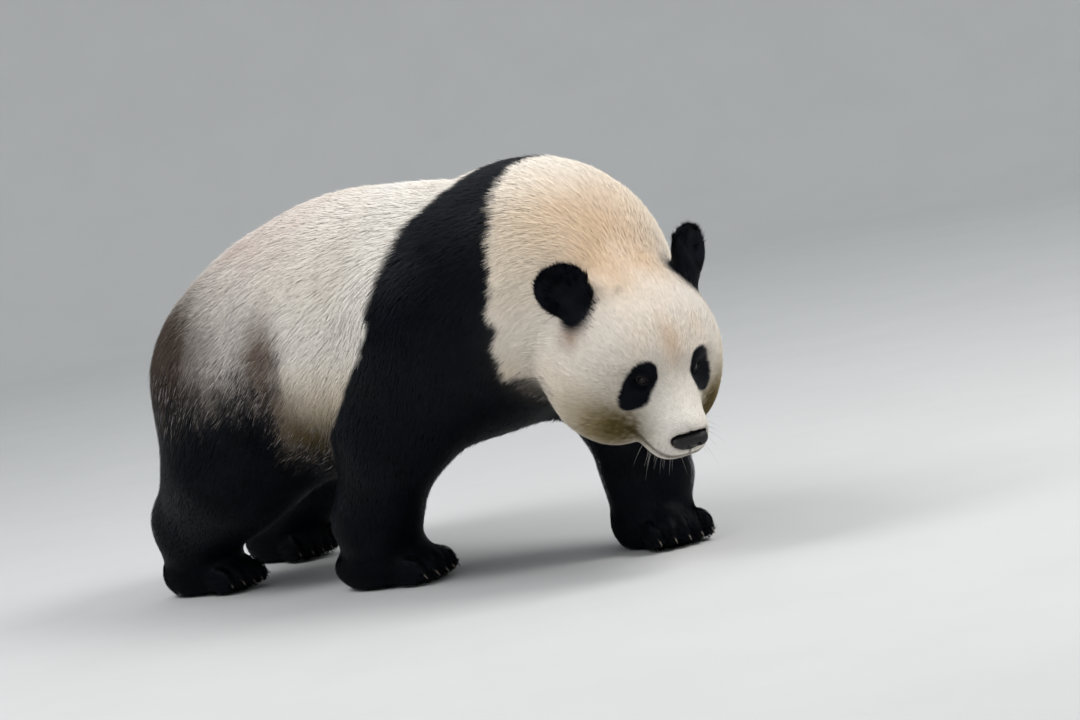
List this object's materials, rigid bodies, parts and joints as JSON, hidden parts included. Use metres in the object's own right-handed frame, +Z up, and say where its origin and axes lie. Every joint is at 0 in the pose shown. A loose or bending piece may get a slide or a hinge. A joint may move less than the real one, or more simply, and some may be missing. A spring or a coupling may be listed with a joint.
{
  "type": "giant panda",
  "caption": "Life-size still model of an adult giant panda walking, its head held low and turned to its right.",
  "frame": {"origin": "on the floor, under the centre of the figure's bounding box", "axes": "+X from rump to head, +Y to the animal's left, +Z up"},
  "size_m": [1.5221, 0.5838, 0.7285],
  "materials": {
    "white_coat": "dense off-white fur, stained tan on the hump and yellow low on the belly and jaw",
    "black_coat": "dense blue-black fur with a soft sheen, frosted brown-grey on the upper hind legs",
    "nose_skin": "black pebbled nose pad, slightly moist",
    "eye_gloss": "dark brown, wet and glossy",
    "claw_horn": "pale horn, semi-gloss"
  },
  "bodies": {
    "root": {"head": "white_coat", "neck": "white_coat", "belly": "white_coat", "rump": "white_coat", "tail": "white_coat", "chest": "black_coat", "ear_left": "black_coat", "ear_right": "black_coat", "upper_arm_left": "black_coat", "upper_arm_right": "black_coat", "forearm_left": "black_coat", "forearm_right": "black_coat", "forepaw_left": "black_coat", "forepaw_right": "black_coat", "thigh_left": "black_coat", "thigh_right": "black_coat", "shank_left": "black_coat", "shank_right": "black_coat", "hindpaw_left": "black_coat", "hindpaw_right": "black_coat", "nose": "nose_skin", "eye_left": "eye_gloss", "eye_right": "eye_gloss", "claw_fore_left_1": "claw_horn", "claw_fore_left_2": "claw_horn", "claw_fore_left_3": "claw_horn", "claw_fore_left_4": "claw_horn", "claw_fore_left_5": "claw_horn", "claw_fore_right_1": "claw_horn", "claw_fore_right_2": "claw_horn", "claw_fore_right_3": "claw_horn", "claw_fore_right_4": "claw_horn", "claw_fore_right_5": "claw_horn", "claw_hind_left_1": "claw_horn", "claw_hind_left_2": "claw_horn", "claw_hind_left_3": "claw_horn", "claw_hind_left_4": "claw_horn", "claw_hind_left_5": "claw_horn", "claw_hind_right_1": "claw_horn", "claw_hind_right_2": "claw_horn", "claw_hind_right_3": "claw_horn", "claw_hind_right_4": "claw_horn", "claw_hind_right_5": "claw_horn"}
  },
  "joints": []
}
